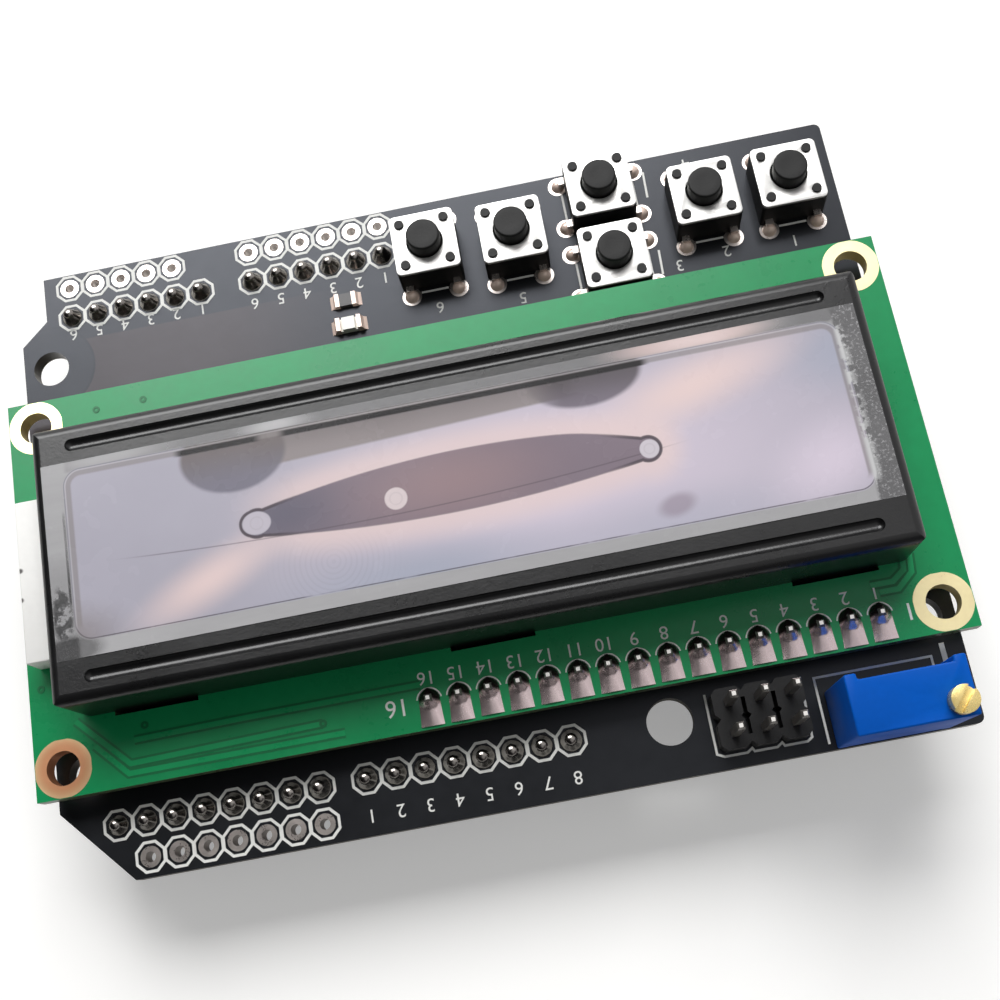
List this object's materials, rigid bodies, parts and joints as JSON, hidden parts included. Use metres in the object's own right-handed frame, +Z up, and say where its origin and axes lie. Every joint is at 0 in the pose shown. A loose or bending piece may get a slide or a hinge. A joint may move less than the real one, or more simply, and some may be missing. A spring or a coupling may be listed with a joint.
{
  "type": "lcd keypad shield",
  "caption": "Plug-on board with a character display in a black metal frame, push buttons along one edge, a contrast trimmer and pin rows underneath.",
  "frame": {"origin": "centre of the outline at the level of the pin tips", "axes": "+X along the display to the right with the buttons nearest the reader, +Y from the buttons to the trimmer, +Z up through the display"},
  "size_m": [0.08, 0.0576, 0.0215],
  "materials": {
    "board_black": "black solder mask on glass-fibre board, semi-gloss",
    "board_green": "green solder mask on glass-fibre board, semi-gloss",
    "header_plastic": "black moulded nylon",
    "pin_metal": "bright tin over brass",
    "solder": "tin solder, semi-bright",
    "trimmer_blue": "blue moulded housing, satin",
    "screw_brass": "bright brass",
    "lamp_white": "milky chip lamp",
    "chip_dark": "dark chip body and resin",
    "frame_black": "satin black coated steel sheet",
    "polariser_grey": "grey polariser sheet",
    "cell_glass": "clear glass",
    "clear_film": "thin clear film with air and wet patches under it",
    "backlight_white": "white moulded housing",
    "guide_clear": "clear acrylic",
    "contact_rubber": "layered silicone rubber",
    "switch_black": "black moulded base",
    "cover_steel": "bright pressed steel",
    "dome_steel": "spring steel",
    "button_black": "black moulded button, fine satin"
  },
  "bodies": {
    "board": {"shield_board": "board_black", "lcd_board": "board_green", "digital_low_strip": "header_plastic", "digital_high_strip": "header_plastic", "power_strip": "header_plastic", "analog_strip": "header_plastic", "icsp_strip": "header_plastic", "lcd_header_strip": "header_plastic", "digital_low_pins": "pin_metal", "digital_high_pins": "pin_metal", "power_pins": "pin_metal", "analog_pins": "pin_metal", "icsp_pins": "pin_metal", "lcd_header_pins": "pin_metal", "header_solder": "solder", "switch_solder": "solder", "underside_solder": "solder", "lcd_solder": "solder", "trimmer_leads": "solder", "switch_terminals": "solder", "trimmer_body": "trimmer_blue", "power_led": "lamp_white", "chip_resistors": "chip_dark", "backlight_transistor": "chip_dark", "controller_blobs": "chip_dark", "lcd_bezel": "frame_black", "front_polariser": "polariser_grey", "rear_polariser": "polariser_grey", "front_glass": "cell_glass", "rear_glass": "cell_glass", "protective_film": "clear_film", "backlight_housing": "backlight_white", "diffuser_sheet": "backlight_white", "light_guide": "guide_clear", "zebra_strips": "contact_rubber", "select_base": "switch_black", "left_base": "switch_black", "up_base": "switch_black", "down_base": "switch_black", "right_base": "switch_black", "reset_base": "switch_black", "select_cover": "cover_steel", "left_cover": "cover_steel", "up_cover": "cover_steel", "down_cover": "cover_steel", "right_cover": "cover_steel", "reset_cover": "cover_steel", "select_dome": "dome_steel", "left_dome": "dome_steel", "up_dome": "dome_steel", "down_dome": "dome_steel", "right_dome": "dome_steel", "reset_dome": "dome_steel"},
    "select_button": {"select_plunger": "button_black"},
    "left_button": {"left_plunger": "button_black"},
    "up_button": {"up_plunger": "button_black"},
    "down_button": {"down_plunger": "button_black"},
    "right_button": {"right_plunger": "button_black"},
    "reset_button": {"reset_plunger": "button_black"},
    "contrast_screw": {"trimmer_screw": "screw_brass"}
  },
  "joints": [
    {"name": "select_press", "type": "slide", "parent": "board", "child": "select_button", "axis": [0, 0, -1], "range_m": [0, 0.00025], "stiffness_N_per_m": 3200, "springref_m": -0.00025, "deforming": ["select_dome"]},
    {"name": "left_press", "type": "slide", "parent": "board", "child": "left_button", "axis": [0, 0, -1], "range_m": [0, 0.00025], "stiffness_N_per_m": 3200, "springref_m": -0.00025, "deforming": ["left_dome"]},
    {"name": "up_press", "type": "slide", "parent": "board", "child": "up_button", "axis": [0, 0, -1], "range_m": [0, 0.00025], "stiffness_N_per_m": 3200, "springref_m": -0.00025, "deforming": ["up_dome"]},
    {"name": "down_press", "type": "slide", "parent": "board", "child": "down_button", "axis": [0, 0, -1], "range_m": [0, 0.00025], "stiffness_N_per_m": 3200, "springref_m": -0.00025, "deforming": ["down_dome"]},
    {"name": "right_press", "type": "slide", "parent": "board", "child": "right_button", "axis": [0, 0, -1], "range_m": [0, 0.00025], "stiffness_N_per_m": 3200, "springref_m": -0.00025, "deforming": ["right_dome"]},
    {"name": "reset_press", "type": "slide", "parent": "board", "child": "reset_button", "axis": [0, 0, -1], "range_m": [0, 0.00025], "stiffness_N_per_m": 3200, "springref_m": -0.00025, "deforming": ["reset_dome"]},
    {"name": "contrast_turn", "type": "hinge", "parent": "board", "child": "contrast_screw", "pos_m": [-0.03503, 0.02747, 0.0201], "axis": [0, 0, 1], "continuous": true}
  ]
}
